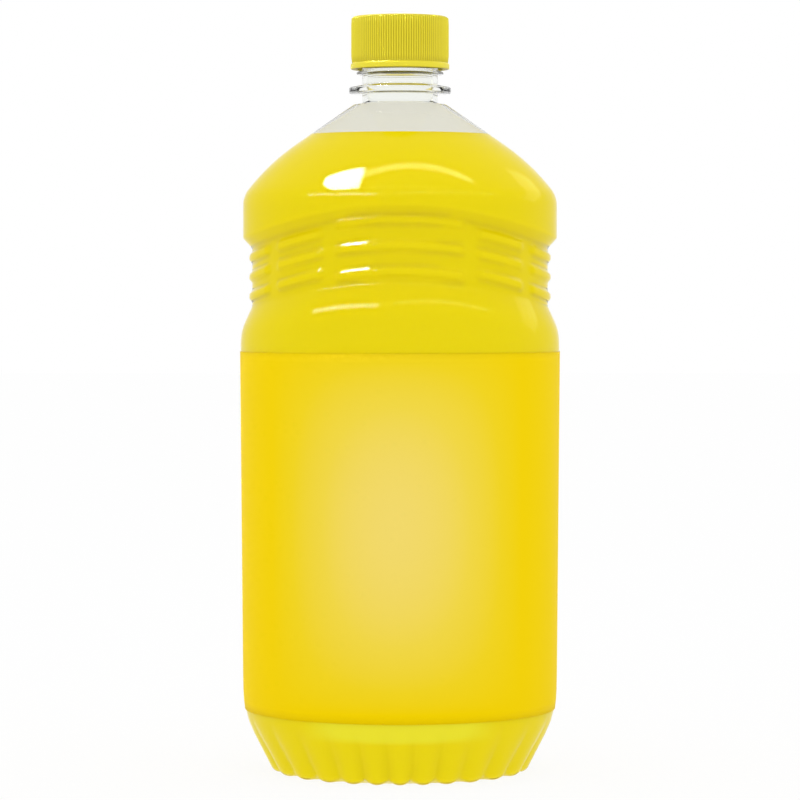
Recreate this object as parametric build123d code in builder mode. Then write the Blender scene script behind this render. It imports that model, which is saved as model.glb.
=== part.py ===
"""Floor cleaner bottle, 1.5 litre: a blown clear bottle with an arched finger grip and a scalloped foot,
a wrap-around label, the cleaning liquid, and a knurled screw cap with its sealing liner.

Millimetres. The axis of the bottle is Z, the bottle stands on z = 0, and its front faces -Y.
"""

import os
from math import atan2, cos, degrees, radians, sin, tan

from build123d import *

# Body of the bottle: radii are set in from the widest one, at the top of the label panel
body_radius = 51.85
panel_taper = 1.15
collar_step = 0.85
heel_inset = 10.55
foot_width = 8.3
recess_run = 4.0
recess_height = 6.0
heel_round = 3.0
heel_slope = 63.0
heel_blend_round = 28.0
panel_high = 143.2
shoulder_corner_round = 8.5
shoulder_corner_turn = 38.0
shoulder_crown_round = 70.0
shoulder_cone_slope = 34.6
wall = 0.45
base_wall = 1.8

# Waist: a band all round that stands higher at the front and back than at the sides
waist_depth = 3.8
waist_band = 18.9
waist_low_slope = 64.0
waist_high_slope = 47.0
waist_low_arch = 7.7
waist_high_arch = 9.8
collar_land = 0.95
cut_clearance = 1.5

# Finger bars in the waist: four wide groups and four narrow ones, parted by plain pillars
bar_width = 4.6
bar_height = 0.9
bar_root = 0.3
bar_crest = 1.6
bar_rows = 3
front_bar_rise = 3.4
front_bar_pitch = 8.2
front_bar_half_turn = 24.5
side_bar_rise = 3.2
side_bar_pitch = 6.3
side_bar_half_turn = 30.0
corner_bar_turn = 42.0
corner_bar_half_turn = 11.5

# Foot scallops, closer together at the front and back
scallop_count = 26
scallop_crowding = 7.0
scallop_high = 11.5
scallop_depth = 1.1
scallop_half_angle = 66.0
scallop_reach = 4.0

# Neck finish above the shoulder ledge
neck_radius = 12.3
neck_wall = 1.43
ledge_width = 2.7
ring_rise = 3.48
ring_reach = 4.2
ring_edge_height = 2.0
ring_root_height = 2.8
bead_rise = 6.2
bead_reach = 1.8
bead_height = 1.4
lip_rise = 22.4

# Cap and liner
cap_gap = 0.3
thread_room = 1.7
cap_wall = 1.45
cap_rim_reach = 0.6
cap_rim_height = 1.8
cap_top_thickness = 1.5
cap_edge_bevel = 0.9
knurl_count = 120
knurl_height = 0.4
liner_thickness = 1.0
liner_clearance = 0.25

# Label film and its lap at the back
label_low = 20.4
label_margin = 6.8
label_film = 0.15
label_gap = 0.05
label_lap_turn = 14.0

# Contents
headspace = 9.75
liquid_clearance = 0.3

# Sections that each half of the waist is lofted through, and chords on the rounded stretches
waist_steps = 12
base_chords = 1
outside_chords = 2
inside_chords = 1

# Radii and heights that follow
panel_low_radius = body_radius - panel_taper
collar_radius = body_radius - collar_step
waist_radius = body_radius - waist_depth
foot_corner_radius = body_radius - heel_inset
foot_inner_radius = foot_corner_radius - foot_width
recess_radius = foot_inner_radius - recess_run
ledge_radius = neck_radius + ledge_width
heel_high = (panel_low_radius - foot_corner_radius) * tan(radians(heel_slope))
waist_low = panel_high + waist_depth * tan(radians(waist_low_slope))
waist_high = waist_low + waist_band
waist_middle = (waist_low + waist_low_arch + waist_high) / 2
collar_low = waist_high + waist_high_arch + (collar_radius - waist_radius) * tan(radians(waist_high_slope))
collar_high = collar_low + collar_land
panel_stock = body_radius + cut_clearance


def turned(radius, angle, height):
    """A point at a turn about the axis from the front, positive towards +X."""
    return Vector(radius * sin(radians(angle)), -radius * cos(radians(angle)), height)


def upright(angle):
    """Plane through the axis at a turn, with its own x outwards and y up."""
    outward = turned(1, angle, 0)
    return Plane((0, 0, 0), x_dir=outward, z_dir=outward.cross(Vector(0, 0, 1)))


def arc_from(start, heading, turn, radius, chords):
    """Points round a left-hand arc that starts at a point with a heading, in degrees."""
    first = radians(heading)
    centre = (start[0] - radius * sin(first), start[1] + radius * cos(first))
    points = []
    for step in range(chords + 1):
        now = radians(heading + turn * step / chords)
        points.append((centre[0] + radius * sin(now), centre[1] - radius * cos(now)))
    return points


def rounded_corner(corner, heading, turn, radius, chords):
    """Points round a corner that two straight runs make."""
    run = radius * tan(radians(turn) / 2)
    start = (corner[0] - run * cos(radians(heading)), corner[1] - run * sin(radians(heading)))
    return arc_from(start, heading, turn, radius, chords)


def foot_outline():
    """Outside of the base from the axis: recess, foot, heel, slope and the round into the panel."""
    upward = degrees(atan2(panel_high, panel_taper))
    top = (panel_low_radius, heel_high)
    return [
        (0, recess_height),
        (recess_radius, recess_height),
        (foot_inner_radius, 0),
        *rounded_corner((foot_corner_radius, 0), 0, heel_slope, heel_round, base_chords),
        *rounded_corner(top, heel_slope, upward - heel_slope, heel_blend_round, base_chords),
    ]


def shoulder_outline(chords):
    """Outside from the waist's middle through the collar and the shoulder to the axis."""
    corner = arc_from(
        (collar_radius, collar_high), 90, shoulder_corner_turn, shoulder_corner_round, chords
    )
    heading = 90 + shoulder_corner_turn
    cone_turn = 180 - shoulder_cone_slope - heading
    crown = arc_from(corner[-1], heading, cone_turn, shoulder_crown_round, chords)
    last = crown[-1]
    ledge_high = last[1] + (last[0] - ledge_radius) * tan(radians(shoulder_cone_slope))
    return [
        (panel_stock, waist_middle),
        (collar_radius, waist_middle),
        *corner,
        *crown[1:],
        (ledge_radius, ledge_high),
        (0, ledge_high),
    ]


def moved_in(outline, depths):
    """An outline moved inwards at each point by that point's depth, square to the wall."""
    points = []
    for index, here in enumerate(outline):
        before = outline[max(index - 1, 0)]
        after = outline[min(index + 1, len(outline) - 1)]
        ends = [pair for pair in ((before, here), (here, after)) if pair[0] != pair[1]]
        headings = [atan2(b[1] - a[1], b[0] - a[0]) for a, b in ends]
        middle = sum(headings) / len(headings)
        depth = depths[index] / cos((headings[-1] - headings[0]) / 2)
        points.append((here[0] - depth * sin(middle), here[1] + depth * cos(middle)))
    return points


def panel_radius(height):
    """Radius of the label panel's straight line at a height."""
    return panel_low_radius + panel_taper * height / panel_high


def round_the_axis(section, start, turn, steps):
    """A section that changes with the turn, lofted round the axis."""
    with BuildPart() as ring:
        for step in range(steps + 1):
            angle = start + turn * step / steps
            with BuildSketch(upright(angle)):
                Polygon(*section(angle), align=None)
        loft()
    return ring.part


def side_cutters(depth):
    """Two half rings outside the label panel and the arched waist, that depth in from the wall."""
    floor = waist_radius - depth - cut_clearance
    edge = panel_stock + cut_clearance
    foot = heel_high + cut_clearance
    low_run = tan(radians(waist_low_slope))
    high_run = tan(radians(waist_high_slope))
    low_shift = depth * tan(radians(waist_low_slope / 2)) + cut_clearance * low_run
    high_shift = depth * tan(radians(waist_high_slope / 2)) + cut_clearance * high_run

    def section(angle):
        lift = cos(radians(angle)) ** 2
        low = waist_low + waist_low_arch * lift + low_shift
        high = waist_high + waist_high_arch * lift - high_shift
        return [
            (panel_radius(foot) - depth, foot),
            (body_radius - depth, low - (waist_depth + cut_clearance) * low_run),
            (floor, low),
            (floor, high),
            (edge, high + (edge - floor) * high_run),
            (edge, foot),
        ]

    return [round_the_axis(section, start, 180, waist_steps) for start in (0, 180)]


def body(depth, base_depth, chords):
    """The body as a solid whose skin lies that depth in from the outside."""
    foot = foot_outline()
    (below, low), (above, high) = foot[-2:]
    stock = (panel_stock, high + (panel_stock - above) * (high - low) / (above - below))
    outline = [*foot, stock, *shoulder_outline(chords)]
    depths = [base_depth] * (len(foot) - 1) + [depth] * (len(outline) - len(foot) + 1)
    with BuildPart() as solid:
        with BuildSketch(Plane.XZ):
            Polygon(*moved_in(outline, depths), align=None)
        revolve(axis=Axis.Z)
        add(side_cutters(depth), mode=Mode.SUBTRACT)
        with BuildSketch(Plane.XY.offset(panel_high)):
            Circle(waist_radius - depth)
        extrude(amount=collar_low - panel_high)
    return solid.part


def plain_body(depth, base_depth):
    """The contents' solid: the same foot and shoulder, and a straight band in place of the arched waist."""
    foot = foot_outline()
    shoulder = shoulder_outline(inside_chords)
    inner = moved_in(foot, [base_depth] * (len(foot) - 1) + [depth])
    inner_shoulder = moved_in(shoulder, [depth] * len(shoulder))
    side = inner[-1][0]
    waist = waist_radius - depth
    outline = [
        *inner,
        (side, panel_high - depth),
        (waist, panel_high - depth),
        (waist, collar_low + depth),
        *inner_shoulder[2:],
    ]
    with BuildPart() as solid:
        with BuildSketch(Plane.XZ):
            Polygon(*outline, align=None)
        revolve(axis=Axis.Z)
    return solid.part


def finger_bar(facing, half_turn, low):
    """One bar on the circle that hugs the arched waist at the bar's middle."""
    turn = radians(facing)
    middle = turned(waist_radius, facing, low + waist_high_arch * cos(turn) ** 2)
    along = turned(waist_radius, facing + 90, -waist_high_arch * sin(2 * turn))
    bend = turned(-waist_radius, facing, -2 * waist_high_arch * cos(2 * turn))
    across = along.cross(bend)
    spoke = along.cross(across).normalized() * (along.length**3 / across.length)
    centre = middle - spoke
    axis = Axis(centre, across)
    start = spoke.rotate(axis, -half_turn)
    with BuildPart() as bar:
        with BuildSketch(Plane(centre + start, x_dir=start, z_dir=across.cross(start))):
            Polygon(
                (-bar_root, -bar_width / 2),
                (bar_height, -bar_crest / 2),
                (bar_height, bar_crest / 2),
                (-bar_root, bar_width / 2),
                align=None,
            )
        revolve(axis=axis, revolution_arc=2 * half_turn)
    return bar.part


def finger_bars():
    """All eight groups of bars round the waist."""
    bars = []
    for row in range(bar_rows):
        side_low = waist_low + side_bar_rise + row * side_bar_pitch
        front_high = waist_low + waist_low_arch + front_bar_rise + row * front_bar_pitch
        front_low = front_high - waist_high_arch
        for facing in (0, 180):
            bars.append(finger_bar(facing, front_bar_half_turn, front_low))
            bars.append(finger_bar(facing + 90, side_bar_half_turn, side_low))
            for side in (-1, 1):
                turn = facing + side * corner_bar_turn
                bars.append(finger_bar(turn, corner_bar_half_turn, side_low))
    return bars


def scallop_cutter(angle):
    """Wedge that parts two lobes of the foot, deepest at the heel and running out up the slope."""
    slope = radians(heel_slope)
    top = (foot_corner_radius + scallop_high / tan(slope), scallop_high)
    bottom = (foot_corner_radius - scallop_depth / sin(slope), 0)
    lean = atan2(top[0] - bottom[0], top[1] - bottom[1])
    outward = turned(cos(lean), angle, -sin(lean))
    down = turned(-sin(lean), angle, -cos(lean))
    width = scallop_reach * tan(radians(scallop_half_angle))
    with BuildPart() as cutter:
        with BuildSketch(Plane(turned(top[0], angle, top[1]) - down * scallop_high, outward, down)):
            Polygon((0, 0), (scallop_reach, width), (scallop_reach, -width), align=None)
        extrude(amount=3 * scallop_high)
    return cutter.part


def foot_scallops():
    """One cutter between each pair of lobes."""
    cutters = []
    for lobe in range(scallop_count):
        even = 360 * (lobe + 0.5) / scallop_count
        cutters.append(scallop_cutter(even - scallop_crowding * sin(radians(2 * even))))
    return cutters


def film(gap):
    """Section of one layer of label film, that gap outside the panel, the same at every turn."""
    foot = panel_radius(label_low) + gap
    head = panel_radius(label_high) + gap

    def section(angle):
        return [
            (foot, label_low),
            (foot + label_film, label_low),
            (head + label_film, label_high),
            (head, label_high),
        ]

    return section


def knurl_outline():
    """Points of the knurled band, a crest and a root for each knurl."""
    points = []
    for step in range(2 * knurl_count):
        radius = cap_outer_radius + knurl_height * (step % 2)
        points.append(tuple(turned(radius, 180 * step / knurl_count, 0))[:2])
    return points


ledge_high = shoulder_outline(outside_chords)[-1][1]
bore_radius = neck_radius - neck_wall
ring_radius = neck_radius + ring_reach
bead_radius = neck_radius + bead_reach
ring_low = ledge_high + ring_rise
bead_low = ring_low + bead_rise
lip_high = ring_low + lip_rise
cap_inner_radius = neck_radius + thread_room
cap_outer_radius = cap_inner_radius + cap_wall
cap_rim_radius = cap_outer_radius + cap_rim_reach
cap_low = bead_low + bead_height + cap_gap
cap_ceiling = lip_high + liner_thickness
cap_high = cap_ceiling + cap_top_thickness
label_high = panel_high - label_margin
fill_high = ledge_high - headspace

# Bottle: body, neck, support ring and bead blown as one
with BuildPart() as bottle:
    add(body(0, 0, outside_chords))
    add(finger_bars())
    add(foot_scallops(), mode=Mode.SUBTRACT)
    with BuildSketch(Plane.XZ):
        Polygon(
            (0, ledge_high - wall / 2),
            (neck_radius, ledge_high - wall / 2),
            (neck_radius, ring_low),
            (ring_radius, ring_low),
            (ring_radius, ring_low + ring_edge_height),
            (neck_radius, ring_low + ring_root_height),
            (neck_radius, bead_low),
            (bead_radius, bead_low),
            (bead_radius, bead_low + bead_height / 2),
            (neck_radius, bead_low + bead_height),
            (neck_radius, lip_high),
            (0, lip_high),
            align=None,
        )
    revolve(axis=Axis.Z)
    add(body(wall, base_wall, inside_chords), mode=Mode.SUBTRACT)
    with BuildSketch(Plane.XY.offset(ledge_high - base_wall)):
        Circle(bore_radius)
    extrude(amount=lip_high - ledge_high + base_wall, mode=Mode.SUBTRACT)

# Cap: knurled skirt over a smooth rim band
with BuildPart() as cap:
    with BuildSketch(Plane.XY.offset(cap_low)):
        Circle(cap_outer_radius)
    extrude(amount=cap_high - cap_low)
    chamfer(cap.edges().group_by(Axis.Z)[-1], cap_edge_bevel)
    with BuildSketch(Plane.XY.offset(cap_low + cap_rim_height)):
        with BuildLine():
            Polyline(*knurl_outline(), close=True)
        make_face()
    extrude(amount=cap_high - cap_edge_bevel - cap_low - cap_rim_height)
    with BuildSketch(Plane.XY.offset(cap_low)):
        Circle(cap_rim_radius)
    extrude(amount=cap_rim_height)
    with BuildSketch(Plane.XY.offset(cap_low)):
        Circle(cap_inner_radius)
    extrude(amount=cap_ceiling - cap_low, mode=Mode.SUBTRACT)

# Sealing liner between the lip and the cap's ceiling
with BuildPart() as cap_liner:
    with BuildSketch(Plane.XY.offset(lip_high)):
        Circle(cap_inner_radius - liner_clearance)
    extrude(amount=liner_thickness)

# Label film, with its lap seam at the back
with BuildPart() as label:
    add([round_the_axis(film(label_gap), start, 180, waist_steps) for start in (0, 180)])
    add(round_the_axis(film(label_gap + label_film / 2), 180 - label_lap_turn / 2, label_lap_turn, 3))

# Cleaning liquid up to the fill line
with BuildPart() as cleaning_liquid:
    add(plain_body(wall + liquid_clearance, base_wall + liquid_clearance))
    split(bisect_by=Plane.XY.offset(fill_high), keep=Keep.BOTTOM)

os.makedirs("parts", exist_ok=True)
for piece, node in (
    (bottle, "bottle"),
    (cap, "cap"),
    (cap_liner, "cap_liner"),
    (label, "label"),
    (cleaning_liquid, "cleaning_liquid"),
):
    piece.part.label = node
    export_step(piece.part, f"parts/{node}.step")
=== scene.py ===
"""Floor cleaner bottle in a white studio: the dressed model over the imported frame."""

from math import atan2, cos, pi, radians, sin, tan

import bpy
import numpy as np
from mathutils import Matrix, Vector


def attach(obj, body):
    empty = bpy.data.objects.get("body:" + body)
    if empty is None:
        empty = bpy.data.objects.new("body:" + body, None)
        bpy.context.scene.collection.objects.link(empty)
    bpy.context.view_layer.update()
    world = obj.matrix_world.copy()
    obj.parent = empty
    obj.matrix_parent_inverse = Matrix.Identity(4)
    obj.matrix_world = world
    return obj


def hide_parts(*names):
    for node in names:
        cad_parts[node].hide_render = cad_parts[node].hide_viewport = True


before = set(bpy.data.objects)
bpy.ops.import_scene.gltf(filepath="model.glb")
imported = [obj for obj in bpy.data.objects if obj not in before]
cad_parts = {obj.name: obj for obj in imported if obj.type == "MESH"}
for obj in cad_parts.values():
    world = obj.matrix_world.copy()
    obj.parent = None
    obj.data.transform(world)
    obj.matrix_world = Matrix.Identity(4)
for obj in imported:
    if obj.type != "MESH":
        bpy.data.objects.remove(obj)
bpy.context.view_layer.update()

# Sizes in millimetres, as in the part's source; meshes are made in metres
MM = 0.001

# Columns round the bottle, and rows up its waist outside, inside and on the liquid
COLUMNS = 288
outer_waist_rows = 100
inner_waist_rows = 44
liquid_waist_rows = 90
panel_rows = 12
label_rows = 40

# The most turn, in radians, and about the most length between two points of a profile
foot_steps = (0.2, 1.7)
neck_steps = (0.45, 2.5)
cap_steps = (0.2, 2.0)
cap_inside_steps = (0.12, 3.0)
shoulder_arc_points = 9
shoulder_step = 2.5

# Wall, thicker in the base, and the least radius of a row near the axis
wall = 0.3
base_wall = 0.8
base_wall_high = 10.0
thin_wall_low = 28.0
axis_gap = 0.3

# Foot and label panel
gate_start = 0.6
gate_radius = 2.6
gate_drop = 0.9
gate_run = 0.8
gate_round = 0.4
recess_radius = 29.0
recess_height = 6.0
recess_round = 2.5
foot_inner_radius = 33.0
foot_inner_round = 2.0
foot_corner_radius = 41.3
foot_corner_round = 3.0
heel_slope = 63.0
heel_blend_round = 28.0
panel_low_radius = 50.7
panel_high_radius = 51.85
panel_straight = 32.0
panel_high = 143.2

# Collar and shoulder
collar_radius = 51.0
collar_land = 0.95
collar_lap = 0.3
shoulder_corner_round = 8.5
shoulder_corner_turn = 38.0
shoulder_crown_round = 70.0
shoulder_cone_slope = 34.6

# Waist, with its corners' rounding as shares of the flare below and of the rise above
waist_radius = 48.05
waist_band = 18.9
waist_low_drop = 7.8
waist_high_rise = 3.15
waist_low_arch = 7.7
waist_high_arch = 9.8
waist_low_run = 5.0
waist_high_run = 2.0
flare_top_round = 0.04
flare_foot_round = 0.2
rise_round = 0.06

# Finger bars
bar_height = 0.95
bar_crest = 1.0
bar_flank = 1.6
bar_end_flank = 1.7
bar_rows = 3
bar_fade = 3
front_bar_rise = 3.4
front_bar_pitch = 8.2
front_bar_half_turn = 24.5
side_bar_rise = 3.2
side_bar_pitch = 6.3
side_bar_half_turn = 30.0
corner_bar_turn = 42.0
corner_bar_half_turn = 11.5

# Lobes of the foot, closer together at the front and back
lobes = 26
lobe_crowding = 7.0
lobe_rounds = 6
lobe_depth = 1.7
lobe_high = 19.0
lobe_start = 2.5
lobe_run = 4.5
lobe_roundness = 0.75
lobe_fade = 0.8

# Neck
neck_radius = 12.3
ledge_width = 2.7
ledge_round = 1.5
ledge_material_rise = 1.2
neck_wall = 1.43
ring_reach = 4.2
ring_rise = 3.48
ring_edge_height = 2.0
ring_root_height = 2.8
ring_round = 0.45
bead_reach = 1.8
bead_rise = 6.2
bead_height = 1.4
bead_round = 0.25
root_round = 0.3
lip_rise = 22.4
lip_round = 0.5
bore_round = 0.4
bore_end = 0.5

# Screw thread on the neck
thread_pitch = 3.18
thread_rise = 10.3
thread_turns = 2.2
thread_reach = 1.2
thread_width = 1.6
thread_sink = 0.04
thread_steps = 72
thread_run_out = 6
thread_section = [(0, -0.5), (0.85, -0.18), (1, 0), (0.85, 0.18), (0, 0.5)]

# Cap and liner
cap_gap = 0.3
cap_centre = 1.0
cap_inner_radius = 14.0
cap_inner_round = 0.5
cap_root_radius = 15.4
cap_root_round = 0.2
cap_crest_radius = 15.85
cap_rim_radius = 16.0
cap_rim_height = 1.6
cap_rim_round = 0.35
cap_rim_step = 0.5
cap_lip = 0.2
cap_wall_least = 0.6
cap_top_thickness = 1.5
cap_edge_round = 0.6
liner_thickness = 1.0
knurls = 120
columns_a_knurl = 8
knurl_roundness = 0.7
knurl_foot_run = 0.5
knurl_head_run = 0.4

# Label film, its lap, and the pale oval on its front
label_low = 20.4
label_margin = 6.8
label_gap = 0.05
label_film = 0.15
label_lap_turn = 14.0
lap_edge_turn = 1.2
lap_rise = 0.0675
pale_centre = (-1.0, 82.0)
pale_half_width = 39.5
pale_half_height = 58.5
pale_fullness = 0.8

# Liquid: steps of its meniscus as the way in and up, and the painted light in the foot, a paler field that
# stands in for light gathered there
headspace = 10.2
liquid_sink = 0.1
meniscus_room = 1.0
meniscus = [(0, 0.2), (0.5, 0.25), (1.4, 0.08), (3.0, 0)]
painted_caustic_height = 18.5
painted_caustic_half_height = 5.0
painted_caustic_half_width = 31.0

# Heights and radii that follow
heel_high = (panel_low_radius - foot_corner_radius) * tan(radians(heel_slope))
waist_low = panel_high + waist_low_drop
waist_high = waist_low + waist_band
collar_high = waist_high + waist_high_arch + waist_high_rise + collar_land
label_high = panel_high - label_margin

corner_turn = radians(shoulder_corner_turn)
cone_slope = radians(shoulder_cone_slope)
corner_in = collar_radius - shoulder_corner_round
crown_in = corner_in - (shoulder_crown_round - shoulder_corner_round) * cos(corner_turn)
crown_up = collar_high - (shoulder_crown_round - shoulder_corner_round) * sin(corner_turn)
cone_radius = crown_in + shoulder_crown_round * sin(cone_slope)
cone_low = crown_up + shoulder_crown_round * cos(cone_slope)
ledge_radius = neck_radius + ledge_width
ledge_high = cone_low + (cone_radius - ledge_radius) * tan(cone_slope)
fill_high = ledge_high - headspace
neck_material_low = ledge_high + ledge_material_rise

bore_radius = neck_radius - neck_wall
ring_low = ledge_high + ring_rise
ring_radius = neck_radius + ring_reach
bead_low = ring_low + bead_rise
bead_radius = neck_radius + bead_reach
lip_high = ring_low + lip_rise
thread_low = ring_low + thread_rise
cap_low = bead_low + bead_height + cap_gap
cap_ceiling = lip_high + liner_thickness
cap_high = cap_ceiling + cap_top_thickness


# Meshes that go round the axis

def turns(columns):
    """Turn of each column from the front, positive towards +X."""
    return np.arange(columns) * 2 * pi / columns


def round_about(profile, columns):
    """Radius and height of a profile's points, the same at every column."""
    return np.repeat(profile[:, :1], columns, 1), np.repeat(profile[:, 1:], columns, 1)


def mesh_object(name, verts, faces):
    """A smooth object in the scene from its points in metres and its faces."""
    mesh = bpy.data.meshes.new(name)
    mesh.from_pydata(verts, [], faces)
    mesh.polygons.foreach_set("use_smooth", [True] * len(faces))
    mesh.update()
    obj = bpy.data.objects.new(name, mesh)
    bpy.context.scene.collection.objects.link(obj)
    return obj


def grid_object(name, radius, height, angle, close_rows=False, fans=False):
    """A mesh of rows round the axis, whose first and last rows may be closed to the axis by fans.

    radius and height are (rows, columns) in millimetres.
    """
    rows, columns = radius.shape
    points = np.stack([radius * np.sin(angle), -radius * np.cos(angle), height], axis=-1)
    verts = (points.reshape(-1, 3) * MM).tolist()
    faces = []
    for row in range(rows if close_rows else rows - 1):
        here, above = row * columns, (row + 1) % rows * columns
        for column in range(columns):
            after = (column + 1) % columns
            faces.append((here + column, here + after, above + after, above + column))
    if fans:
        last = (rows - 1) * columns
        verts += [(0, 0, float(height[0, 0]) * MM), (0, 0, float(height[-1, 0]) * MM)]
        foot, head = len(verts) - 2, len(verts) - 1
        faces += [(foot, (i + 1) % columns, i) for i in range(columns)]
        faces += [(head, last + i, last + (i + 1) % columns) for i in range(columns)]
    return mesh_object(name, verts, faces)


def rounded(corners, step):
    """Points of a polyline (radius, height, round) with its corners rounded, a point each step of turn."""
    points = [corners[0][:2]]
    for before, here, after in zip(corners, corners[1:], corners[2:]):
        a = np.subtract(before[:2], here[:2])
        b = np.subtract(after[:2], here[:2])
        a, b = a / np.hypot(*a), b / np.hypot(*b)
        half = np.arccos(np.clip(a @ b, -1, 1)) / 2
        run = here[2] / np.tan(half)
        centre = np.array(here[:2]) + (a + b) / np.hypot(*(a + b)) * here[2] / np.sin(half)
        start = np.array(here[:2]) + a * run - centre
        end = np.array(here[:2]) + b * run - centre
        first = atan2(start[1], start[0])
        sweep = (atan2(end[1], end[0]) - first + pi) % (2 * pi) - pi
        count = max(2, int(abs(sweep) / step) + 1)
        for k in range(count + 1):
            now = first + sweep * k / count
            points.append((centre[0] + here[2] * cos(now), centre[1] + here[2] * sin(now)))
    points.append(corners[-1][:2])
    return np.array(points)


def divided(points, longest):
    """The same polyline with no run much longer than a length."""
    out = [points[0]]
    for a, b in zip(points, points[1:]):
        count = max(1, int(np.hypot(*(b - a)) / longest))
        out += [a + (b - a) * (k + 1) / count for k in range(count)]
    return np.array(out)


def rounded_profile(corners, steps):
    """Points of a polyline with rounded corners, a step of turn or of length apart."""
    turn, length = steps
    return divided(rounded(corners, turn), length)


def normals_in(points):
    """Unit normals to the left of a polyline, which is inwards up the outside of the bottle."""
    along = np.gradient(points, axis=0)
    along /= np.maximum(np.hypot(along[:, :1], along[:, 1:]), 1e-9)
    return np.stack([-along[:, 1], along[:, 0]], axis=1)


# Outside of the bottle

def panel_radius(height):
    """Radius of the tapered label panel."""
    return panel_low_radius + (panel_high_radius - panel_low_radius) * height / panel_high


def foot_profile():
    """Base and heel up to where the label panel is straight."""
    gate_high = recess_height - gate_drop
    corners = [
        (gate_start, gate_high, 0),
        (gate_radius, gate_high, gate_round),
        (gate_radius + gate_run, recess_height, gate_round),
        (recess_radius, recess_height, recess_round),
        (foot_inner_radius, 0, foot_inner_round),
        (foot_corner_radius, 0, foot_corner_round),
        (panel_low_radius, heel_high, heel_blend_round),
        (panel_radius(panel_straight), panel_straight, 0),
    ]
    return rounded_profile(corners, foot_steps)


def shoulder_profile():
    """Collar and shoulder up to the cone."""
    corner = [
        (corner_in + shoulder_corner_round * cos(t), collar_high + shoulder_corner_round * sin(t))
        for t in np.linspace(0, corner_turn, shoulder_arc_points)
    ]
    crown = [
        (crown_in + shoulder_crown_round * cos(t), crown_up + shoulder_crown_round * sin(t))
        for t in np.linspace(corner_turn, pi / 2 - cone_slope, shoulder_arc_points)[1:]
    ]
    return divided(np.array([*corner, *crown]), shoulder_step)


def neck_profile():
    """Cone, ledge and neck, over the lip and down the bore."""
    corners = [
        (cone_radius, cone_low, 0),
        (ledge_radius, ledge_high, ledge_round),
        (neck_radius, ledge_high, lip_round),
        (neck_radius, ring_low, root_round),
        (ring_radius, ring_low, ring_round),
        (ring_radius, ring_low + ring_edge_height, ring_round),
        (neck_radius, ring_low + ring_root_height, lip_round),
        (neck_radius, bead_low, bead_round),
        (bead_radius, bead_low, root_round),
        (bead_radius, bead_low + bead_height / 2, bead_round),
        (neck_radius, bead_low + bead_height, root_round),
        (neck_radius, lip_high, lip_round),
        (bore_radius, lip_high, bore_round),
        (bore_radius, ledge_high + bore_end, 0),
    ]
    return rounded_profile(corners, neck_steps)[1:]


def eased(share):
    """A share from 0 to 1 with a soft start and a soft end."""
    return share**2 * (3 - 2 * share)


def soft_ramp(value, first_round, last_round):
    """0 below 0, 1 above 1, straight between, with each corner rounded by its own share."""
    def past(x, share):
        return share * np.logaddexp(0, x / share)
    return np.clip(past(value, first_round) - past(value - 1, last_round), 0, 1)


def bars_at(angle, height):
    """How far the finger bars stand out at each point of the waist."""
    arch = waist_high_arch * np.cos(angle) ** 2
    front_low = waist_low + waist_low_arch + front_bar_rise - waist_high_arch
    side_low = waist_low + side_bar_rise
    groups = []
    for facing in (0, 180):
        groups.append((facing, front_bar_half_turn, front_low, front_bar_pitch))
        groups.append((facing + 90, side_bar_half_turn, side_low, side_bar_pitch))
        for side in (-1, 1):
            turn = facing + side * corner_bar_turn
            groups.append((turn, corner_bar_half_turn, side_low, side_bar_pitch))
    out = np.zeros_like(height)
    for facing, half_turn, low, pitch in groups:
        away = np.abs((angle - radians(facing) + pi) % (2 * pi) - pi) - radians(half_turn)
        past_end = np.maximum(0, away * waist_radius / bar_end_flank + 0.5)
        for row in range(bar_rows):
            off = np.abs(height - (low + row * pitch + arch)) - bar_crest / 2
            near = np.clip(1 - np.hypot(np.maximum(0, off / bar_flank), past_end), 0, 1)
            out = np.maximum(out, bar_height * eased(near))
    return out


def waist_grid(angle, rows):
    """Radius and height of the waist's rows, from the label panel to the collar."""
    lift = np.cos(angle) ** 2
    low = waist_low + waist_low_arch * lift
    high = waist_high + waist_high_arch * lift
    bottom = low - waist_low_drop - waist_low_run
    top = np.minimum(high + waist_high_rise + waist_high_run, collar_high - collar_lap)
    share = np.linspace(0, 1, rows)[:, None]
    height = bottom + share * (top - bottom)
    flare = soft_ramp((low - height) / waist_low_drop, flare_top_round, flare_foot_round)
    rise = soft_ramp((height - high) / waist_high_rise, rise_round, rise_round)
    radius = waist_radius + flare * (panel_high_radius - waist_radius)
    radius = radius + rise * (collar_radius - waist_radius)
    bars = bars_at(angle + 0 * height, height) * (1 - np.clip(flare * bar_fade, 0, 1)) * (1 - rise)
    return radius + bars, height


def foot_grid(angle, inset, base_inset):
    """Rows of the foot, that far in, pushed in between its lobes, most at the heel."""
    points = foot_profile()
    inwards = normals_in(points)
    # Turn that each column would have with the lobes evenly spaced, found in a few rounds
    even = angle
    for _ in range(lobe_rounds):
        even = angle + radians(lobe_crowding) * np.sin(2 * even)
    valley = 1 - np.abs(np.cos(lobes / 2 * even)) ** lobe_roundness
    rise = np.clip((points[:, 0] - foot_inner_radius - lobe_start) / lobe_run, 0, 1)
    fade = np.clip(1 - points[:, 1] / lobe_high, 0, 1) ** lobe_fade
    push = lobe_depth * (eased(rise) * fade)[:, None] * valley
    depth = np.interp(points[:, 1], [0, base_wall_high, thin_wall_low], [base_inset, base_inset, inset])
    radius, height = round_about(points, len(angle))
    push = push + depth[:, None]
    return np.maximum(radius + inwards[:, :1] * push, axis_gap), height + inwards[:, 1:] * push


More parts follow.
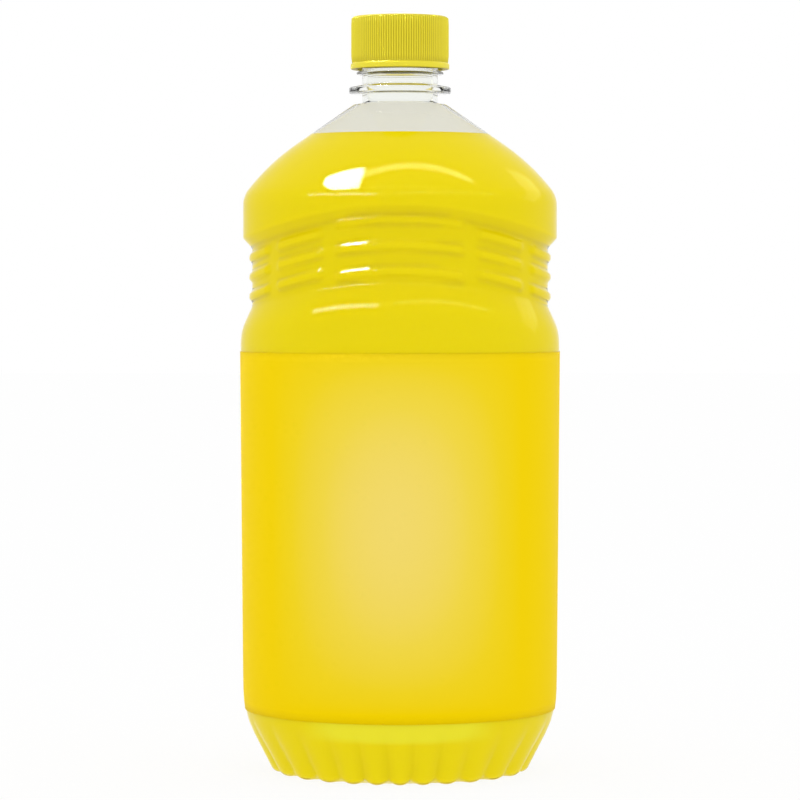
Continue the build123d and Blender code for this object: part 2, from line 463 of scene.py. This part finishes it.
def body_grid(angle, inset, base_inset, waist_rows):
    """Rows up the whole body to the cone, that far in from the outside."""
    foot_radii, foot_heights = foot_grid(angle, inset, base_inset)
    waist_radii, waist_heights = waist_grid(angle, waist_rows)
    waist_radii = waist_radii - inset
    share = np.linspace(0, 1, panel_rows)[1:-1, None]
    panel_radii = foot_radii[-1:] + share * (waist_radii[:1] - foot_radii[-1:])
    panel_heights = foot_heights[-1:] + share * (waist_heights[:1] - foot_heights[-1:])
    shoulder = shoulder_profile()
    shoulder_radii, shoulder_heights = round_about(shoulder + normals_in(shoulder) * inset, len(angle))
    radius = np.vstack([foot_radii, panel_radii, waist_radii, shoulder_radii])
    height = np.vstack([foot_heights, panel_heights, waist_heights, shoulder_heights])
    return radius, height


# Pieces

def make_bottle():
    """The blown wall as one closed skin: up the outside, over the lip and down the inside."""
    angle = turns(COLUMNS)
    outer_radius, outer_height = body_grid(angle, 0, 0, outer_waist_rows)
    neck_radii, neck_heights = round_about(neck_profile(), COLUMNS)
    inner_radius, inner_height = body_grid(angle, wall, base_wall, inner_waist_rows)
    radius = np.vstack([outer_radius, neck_radii, inner_radius[::-2]])
    height = np.vstack([outer_height, neck_heights, inner_height[::-2]])
    return grid_object("bottle_wall", radius, height, angle, fans=True)


def make_liquid():
    """The contents, sunk a hair into the wall, with a meniscus at the fill line."""
    angle = turns(COLUMNS)
    radius, height = body_grid(angle, wall - liquid_sink, base_wall - liquid_sink, liquid_waist_rows)
    below = height[:, 0] < fill_high - meniscus_room
    radius, height = radius[below], height[below]
    edge = radius[-1] - (fill_high + meniscus[0][1] - height[-1]) / tan(cone_slope)
    radius = np.vstack([radius, *[edge - inward for inward, _ in meniscus], edge / 2])
    tops = [fill_high + up for _, up in meniscus] + [fill_high]
    height = np.vstack([height, *[np.full(COLUMNS, top) for top in tops]])
    return grid_object("yellow_liquid", radius, height, angle, fans=True)


def make_label():
    """The wrap-around film as a thin closed band, with its lap at the back."""
    angle = turns(COLUMNS)
    heights = np.linspace(label_low, label_high, label_rows)
    foot = foot_profile()
    heel = foot[foot[:, 0] > foot_corner_radius]
    on_heel = np.interp(heights, heel[:, 1], heel[:, 0])
    inside = np.where(heights < heel[-1, 1], on_heel, panel_radius(heights))[:, None] + label_gap
    from_back = np.abs(angle - pi)
    lap = lap_rise * np.clip((radians(label_lap_turn / 2) - from_back) / radians(lap_edge_turn), 0, 1)
    outer = inside + label_film + lap[None, :]
    inner = np.repeat(inside, COLUMNS, 1)
    radius = np.vstack([outer, inner[::-1]])
    height = np.repeat(np.concatenate([heights, heights[::-1]])[:, None], COLUMNS, 1)
    return grid_object("label_film", radius, height, angle, close_rows=True)


def make_cap():
    """The closure: ribbed skirt, smooth rim band, rounded top edge and plain inside."""
    columns = knurls * columns_a_knurl
    angle = turns(columns)
    band_high = cap_low + cap_rim_height
    corners = [
        (cap_inner_radius, cap_low, 0),
        (cap_rim_radius, cap_low, cap_rim_round),
        (cap_rim_radius, band_high, cap_rim_round),
        (cap_root_radius, band_high + cap_rim_step, cap_root_round),
        (cap_root_radius, cap_high, cap_edge_round),
        (cap_centre, cap_high, 0),
    ]
    outside = rounded_profile(corners, cap_steps)
    above_foot = np.clip((outside[:, 1] - band_high - cap_rim_round) / knurl_foot_run, 0, 1)
    below_head = np.clip((cap_high - cap_edge_round / 2 - outside[:, 1]) / knurl_head_run, 0, 1)
    on_skirt = above_foot * below_head * (outside[:, 0] > cap_inner_radius + cap_wall_least)
    rib = (0.5 + 0.5 * np.cos(angle * knurls)) ** knurl_roundness
    outer = outside[:, :1] + (cap_crest_radius - cap_root_radius) * on_skirt[:, None] * rib
    corners = [
        (cap_centre, cap_ceiling, 0),
        (cap_inner_radius, cap_ceiling, cap_inner_round),
        (cap_inner_radius, cap_low + cap_lip, 0),
    ]
    inside = rounded_profile(corners, cap_inside_steps)
    radius = np.vstack([np.repeat(inside[:, :1], columns, 1), outer])
    height = np.repeat(np.concatenate([inside[:, 1], outside[:, 1]])[:, None], columns, 1)
    return grid_object("cap_ribbed", radius, height, angle, fans=True)


def make_thread():
    """The screw ridge on the neck, running out at both ends."""
    steps = int(thread_turns * thread_steps)
    count = len(thread_section)
    verts, faces = [], []
    for step in range(steps + 1):
        turn = 2 * pi * step / thread_steps
        full = min(1, step / thread_run_out, (steps - step) / thread_run_out)
        for out, up in thread_section:
            radius = neck_radius + thread_reach * (out * full * (1 + thread_sink) - thread_sink)
            z = thread_low + thread_pitch * step / thread_steps + up * thread_width
            verts.append((radius * sin(turn) * MM, -radius * cos(turn) * MM, z * MM))
    for step in range(steps):
        for k in range(count):
            a, b = step * count + k, step * count + (k + 1) % count
            faces.append((a, b, b + count, a + count))
    faces += [tuple(range(count))[::-1], tuple(steps * count + k for k in range(count))]
    return mesh_object("neck_thread", verts, faces)


# Shader nodes

def linear(red, green, blue):
    """A display colour in 0 to 255 as linear light."""
    def one(value):
        value /= 255
        return value / 12.92 if value <= 0.04045 else ((value + 0.055) / 1.055) ** 2.4
    return (one(red), one(green), one(blue), 1)


def feed(tree, sockets, values):
    """Give each socket its number, vector or link."""
    for socket, value in zip(sockets, values):
        if isinstance(value, bpy.types.NodeSocket):
            tree.links.new(value, socket)
        else:
            socket.default_value = value


def calc(tree, operation, *values):
    """The result of an arithmetic node on numbers or sockets."""
    node = tree.nodes.new("ShaderNodeMath")
    node.operation = operation
    feed(tree, node.inputs, values)
    return node.outputs["Value"]


def vector_calc(tree, operation, *values):
    """The result of a vector node on vectors or sockets."""
    node = tree.nodes.new("ShaderNodeVectorMath")
    node.operation = operation
    second = node.inputs["Scale"] if operation == "SCALE" else node.inputs[1]
    feed(tree, (node.inputs[0], second), values)
    return node.outputs["Value" if operation == "DOT_PRODUCT" else "Vector"]


def hump(tree, value, centre, half):
    """1 at the centre, falling to 0 at half the width on either side."""
    off = calc(tree, "DIVIDE", calc(tree, "SUBTRACT", value, centre * MM), half * MM)
    return calc(tree, "MAXIMUM", calc(tree, "SUBTRACT", 1.0, calc(tree, "MULTIPLY", off, off)), 0.0)


def place_in(tree):
    """The object's own coordinates as three sockets."""
    split = tree.nodes.new("ShaderNodeSeparateXYZ")
    place = tree.nodes.new("ShaderNodeTexCoord")
    tree.links.new(place.outputs["Object"], split.inputs["Vector"])
    return split.outputs["X"], split.outputs["Y"], split.outputs["Z"]


def colour_ramp(tree, value, stops, shader):
    """The base colour from a value, by stops of position and colour."""
    ramp = tree.nodes.new("ShaderNodeValToRGB")
    marks = ramp.color_ramp.elements
    marks[0].position, marks[0].color = stops[0]
    marks[1].position, marks[1].color = stops[-1]
    for position, colour in stops[1:-1]:
        marks.new(position).color = colour
    tree.links.new(value, ramp.inputs["Fac"])
    tree.links.new(ramp.outputs["Color"], shader.inputs["Base Color"])


def new_material(name, settings):
    """A node material with one shader, set by the names of its sockets."""
    material = bpy.data.materials.new(name)
    material.use_nodes = True
    tree = material.node_tree
    tree.nodes.clear()
    shader = tree.nodes.new("ShaderNodeBsdfPrincipled")
    output = tree.nodes.new("ShaderNodeOutputMaterial")
    tree.links.new(shader.outputs["BSDF"], output.inputs["Surface"])
    for socket, value in settings.items():
        shader.inputs[socket].default_value = value
    return material, shader, tree


def add_bump(tree, shader, scale, stretch, strength, distance, socket="Normal"):
    """Fine waviness on the surface from a noise in object space."""
    place = tree.nodes.new("ShaderNodeTexCoord")
    mapping = tree.nodes.new("ShaderNodeMapping")
    mapping.inputs["Scale"].default_value = stretch
    noise = tree.nodes.new("ShaderNodeTexNoise")
    noise.inputs["Scale"].default_value = scale
    noise.inputs["Detail"].default_value = 2
    bump = tree.nodes.new("ShaderNodeBump")
    bump.inputs["Strength"].default_value = strength
    bump.inputs["Distance"].default_value = distance
    tree.links.new(place.outputs["Object"], mapping.inputs["Vector"])
    tree.links.new(mapping.outputs["Vector"], noise.inputs["Vector"])
    tree.links.new(noise.outputs["Fac"], bump.inputs["Height"])
    tree.links.new(bump.outputs["Normal"], shader.inputs[socket])


# Materials

def clear_plastic(name, tint):
    """Clear blown plastic with a hard gloss."""
    settings = {
        "Base Color": tint,
        "Transmission Weight": 1,
        "Roughness": 0,
        "IOR": 1.06,
        "Coat Weight": 0.16,
        "Coat Roughness": 0.03,
        "Coat IOR": 1.5,
    }
    material, shader, tree = new_material(name, settings)
    add_bump(tree, shader, 40, (1, 1, 0.6), 0.02, 0.0003, "Coat Normal")
    return material


def neck_plastic():
    """The same plastic where it is thick and bends light, in the neck."""
    settings = {
        "Base Color": linear(248, 249, 246),
        "Transmission Weight": 1,
        "Roughness": 0.02,
        "IOR": 1.26,
    }
    material, shader, tree = new_material("clear_neck", settings)
    add_bump(tree, shader, 90, (1, 1, 0.4), 0.05, 0.0002)
    return material


def liquid_material():
    """Yellow cleaner, with painted light: paler yellow where light gathers in the foot."""
    material, shader, tree = new_material("yellow_liquid", {"Roughness": 0.5, "Specular IOR Level": 0.02})
    across, _, up = place_in(tree)
    # Painted light: a paler yellow field low in the middle of the foot stands in for light gathered there
    wide = hump(tree, across, 0.0, painted_caustic_half_width)
    field = calc(tree, "MULTIPLY", wide, hump(tree, up, painted_caustic_height, painted_caustic_half_height))
    colour_ramp(tree, field, [(0.0, (0.98, 0.80, 0.001, 1)), (0.5, (1.0, 0.92, 0.03, 1))], shader)
    add_bump(tree, shader, 20, (1, 1, 1), 0.02, 0.0005)
    return material


def label_material():
    """Yellow film, paler in a soft oval in the middle of its front."""
    material, shader, tree = new_material("label_film", {"Roughness": 0.5, "Specular IOR Level": 0.02})
    across, back, up = place_in(tree)
    wide = hump(tree, across, pale_centre[0], pale_half_width)
    tall = calc(tree, "POWER", hump(tree, up, pale_centre[1], pale_half_height), pale_fullness)
    front = calc(tree, "LESS_THAN", back, 0.0)
    field = calc(tree, "MULTIPLY", calc(tree, "MULTIPLY", wide, tall), front)
    stops = [
        (0.0, linear(245, 212, 0)),
        (0.3, linear(243, 214, 33)),
        (0.65, linear(243, 217, 70)),
        (1.0, linear(244, 219, 108)),
    ]
    colour_ramp(tree, field, stops, shader)
    add_bump(tree, shader, 40, (1, 1, 6), 0.06, 0.0003)
    return material


def cap_material():
    """Moulded yellow plastic, with painted shade: darker down between the knurls, lighter on their crests.
    """
    material, shader, tree = new_material("cap_plastic", {"Roughness": 0.38, "Specular IOR Level": 0.2})
    across, back, _ = place_in(tree)
    square = calc(tree, "ADD", calc(tree, "MULTIPLY", across, across), calc(tree, "MULTIPLY", back, back))
    depth = calc(tree, "SUBTRACT", calc(tree, "SQRT", square), cap_root_radius * MM)
    share = calc(tree, "DIVIDE", calc(tree, "ABSOLUTE", depth), (cap_crest_radius - cap_root_radius) * MM)
    # Painted shade: the colour darkens towards the knurls' roots, where shade falls between them
    colour_ramp(tree, share, [(0.1, linear(204, 189, 34)), (0.8, linear(238, 224, 56))], shader)
    return material


def liner_material():
    """White foamed liner."""
    settings = {"Base Color": linear(238, 238, 232), "Roughness": 0.8}
    material, shader, tree = new_material("liner_foam", settings)
    add_bump(tree, shader, 2500, (1, 1, 1), 0.2, 0.0001)
    return material


# The object's pieces on their bodies

def dress_bottle():
    """The wall in three zones, over the liquid, round the headspace and up the neck, and the thread; the
    headspace zone is a darker copy of the clear plastic, painted shade.
    """
    neck = neck_plastic()
    bottle = make_bottle()
    bottle.data.materials.append(clear_plastic("clear_bottle", (0.94, 0.925, 0.87, 1)))
    # Painted shade: the headspace wall is the same clear plastic given a greyer, darker tint
    bottle.data.materials.append(clear_plastic("clear_headspace_painted_shade", (0.87, 0.865, 0.81, 1)))
    bottle.data.materials.append(neck)
    middles = np.empty(len(bottle.data.polygons) * 3)
    bottle.data.polygons.foreach_get("center", middles)
    zone = np.searchsorted([fill_high * MM, neck_material_low * MM], middles.reshape(-1, 3)[:, 2])
    bottle.data.polygons.foreach_set("material_index", zone.astype(np.int32))
    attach(bottle, "bottle_body")
    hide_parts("bottle")

    thread = make_thread()
    thread.data.materials.append(neck)
    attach(thread, "bottle_body")


def dress_contents():
    """The liquid, and the label round the bottle."""
    liquid = make_liquid()
    liquid.data.materials.append(liquid_material())
    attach(liquid, "bottle_body")
    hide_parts("cleaning_liquid")

    label = make_label()
    label.data.materials.append(label_material())
    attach(label, "bottle_body")
    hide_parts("label")


def dress_cap():
    """The ribbed cap, and the liner's own solid with a foam finish."""
    cap = make_cap()
    cap.data.materials.append(cap_material())
    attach(cap, "cap_body")
    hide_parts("cap")

    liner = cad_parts["cap_liner"]
    liner.data.materials.clear()
    liner.data.materials.append(liner_material())


# The studio, in metres

camera_distance = 1.1847
camera_height = 0.1548
camera_pitch = 1.656
camera_lens = 163.85
camera_sensor = 36
camera_near = 0.05

floor_half = 6.0
floor_drop = 0.02 * MM
floor_glow = 0.9

top_light_size = 1.2
top_light_energy = 1.0
top_light_place = (0, -0.2, 1.3)

# Softboxes that the gloss shows: two ends as directions from the bottle, breadth, radiance and colour
white, warm = (1, 0.98, 0.85), (1, 0.94, 0.45)
softbox_edge = 0.05
softboxes = [
    ((-0.37, 0.12, 0.92), (-0.52, -0.36, 0.78), 0.30, 130, white),
    ((-0.45, -0.06, 0.90), (0.546, 0.11, 0.815), 0.07, 20, warm),
    ((-0.574, -0.30, 0.785), (0.574, -0.30, 0.785), 0.06, 6, warm),
    ((0.93, 0.30, 0.12), (0.46, 0.69, 0.56), 0.28, 2.5, warm),
    ((-0.888, -0.179, 0.423), (-0.233, -0.818, 0.525), 0.15, 28, white),
    ((-0.25, -0.81, 0.53), (0.915, -0.05, 0.40), 0.09, 9, warm),
]


def set_camera():
    """A long lens a little above the middle of the bottle."""
    data = bpy.data.cameras.new("camera")
    data.lens = camera_lens
    data.sensor_width = camera_sensor
    data.clip_start = camera_near
    camera = bpy.data.objects.new("camera", data)
    camera.location = (0, -camera_distance, camera_height)
    camera.rotation_euler = (radians(90 - camera_pitch), 0, 0)
    bpy.context.scene.collection.objects.link(camera)
    bpy.context.scene.camera = camera


def softbox(tree, start, end, breadth, radiance, colour):
    """Light of a soft-edged panel that the gloss sees between two directions."""
    first, last = Vector(start).normalized(), Vector(end).normalized()
    outward, along = (first + last).normalized(), (last - first).normalized()
    view = tree.nodes.new("ShaderNodeTexCoord").outputs["Generated"]

    def towards(axis):
        return vector_calc(tree, "DOT_PRODUCT", view, axis)

    def inside(axis, half):
        edge = tree.nodes.new("ShaderNodeMapRange")
        edge.interpolation_type = "SMOOTHSTEP"
        edge.inputs["From Min"].default_value = half + softbox_edge / 2
        edge.inputs["From Max"].default_value = half - softbox_edge / 2
        off = calc(tree, "ABSOLUTE", calc(tree, "DIVIDE", towards(axis), depth))
        tree.links.new(off, edge.inputs["Value"])
        return edge.outputs["Result"]

    depth = calc(tree, "MAXIMUM", towards(outward), 0.01)
    ahead = calc(tree, "GREATER_THAN", towards(outward), 0.0)
    long_way = inside(along, (last - first).length / 2)
    short_way = inside(outward.cross(along), breadth / 2)
    strength = calc(tree, "MULTIPLY", calc(tree, "MULTIPLY", long_way, short_way), ahead)
    return vector_calc(tree, "SCALE", [radiance * part for part in colour], strength)


def set_world():
    """Even white all round, which shows a colour as it is written, and softboxes for the gloss alone."""
    world = bpy.data.worlds.new("studio")
    bpy.context.scene.world = world
    world.use_nodes = True
    tree = world.node_tree
    tree.nodes.clear()
    total = softbox(tree, *softboxes[0])
    for box in softboxes[1:]:
        total = vector_calc(tree, "ADD", total, softbox(tree, *box))
    light_path = tree.nodes.new("ShaderNodeLightPath")
    unbent = calc(tree, "SUBTRACT", 1.0, light_path.outputs["Is Transmission Ray"])
    direct = calc(tree, "LESS_THAN", light_path.outputs["Diffuse Depth"], 0.5)
    mirrored = calc(tree, "MULTIPLY", light_path.outputs["Is Glossy Ray"], unbent)
    in_gloss = vector_calc(tree, "SCALE", total, calc(tree, "MULTIPLY", mirrored, direct))
    background = tree.nodes.new("ShaderNodeBackground")
    output = tree.nodes.new("ShaderNodeOutputWorld")
    tree.links.new(vector_calc(tree, "ADD", in_gloss, (1, 1, 1)), background.inputs["Color"])
    tree.links.new(background.outputs["Background"], output.inputs["Surface"])


def add_top_light():
    """A dim overhead panel, which gives the floor its soft shadow."""
    data = bpy.data.lights.new("top_light", "AREA")
    data.size = top_light_size
    data.energy = top_light_energy
    light = bpy.data.objects.new("top_light", data)
    light.location = top_light_place
    light.visible_glossy = False
    bpy.context.scene.collection.objects.link(light)


def seen_white(tree):
    """1 for camera, mirror and clear rays, which see a white studio."""
    rays = tree.nodes.new("ShaderNodeLightPath").outputs
    mirrored = calc(tree, "MAXIMUM", rays["Is Glossy Ray"], rays["Is Transmission Ray"])
    return calc(tree, "MAXIMUM", rays["Is Camera Ray"], mirrored)


def add_floor():
    """White ground that the camera sees as the background, with a faint shadow."""
    corners = [(-1, -1), (1, -1), (1, 1), (-1, 1)]
    verts = [(x * floor_half, y * floor_half, -floor_drop) for x, y in corners]
    ground = mesh_object("ground", verts, [(0, 1, 2, 3)])
    material = bpy.data.materials.new("ground_white")
    material.use_nodes = True
    tree = material.node_tree
    tree.nodes.clear()
    matte = tree.nodes.new("ShaderNodeBsdfDiffuse")
    matte.inputs["Color"].default_value = (0.92, 0.92, 0.92, 1)
    glow = tree.nodes.new("ShaderNodeEmission")
    mix = tree.nodes.new("ShaderNodeMixShader")
    output = tree.nodes.new("ShaderNodeOutputMaterial")
    tree.links.new(calc(tree, "MULTIPLY", seen_white(tree), floor_glow), mix.inputs["Fac"])
    tree.links.new(matte.outputs["BSDF"], mix.inputs[1])
    tree.links.new(glow.outputs["Emission"], mix.inputs[2])
    tree.links.new(mix.outputs["Shader"], output.inputs["Surface"])
    ground.data.materials.append(material)


dress_bottle()
dress_contents()
dress_cap()
set_camera()
set_world()
add_floor()
add_top_light()
bpy.context.scene.view_settings.view_transform = "Standard"

bpy.context.view_layer.update()
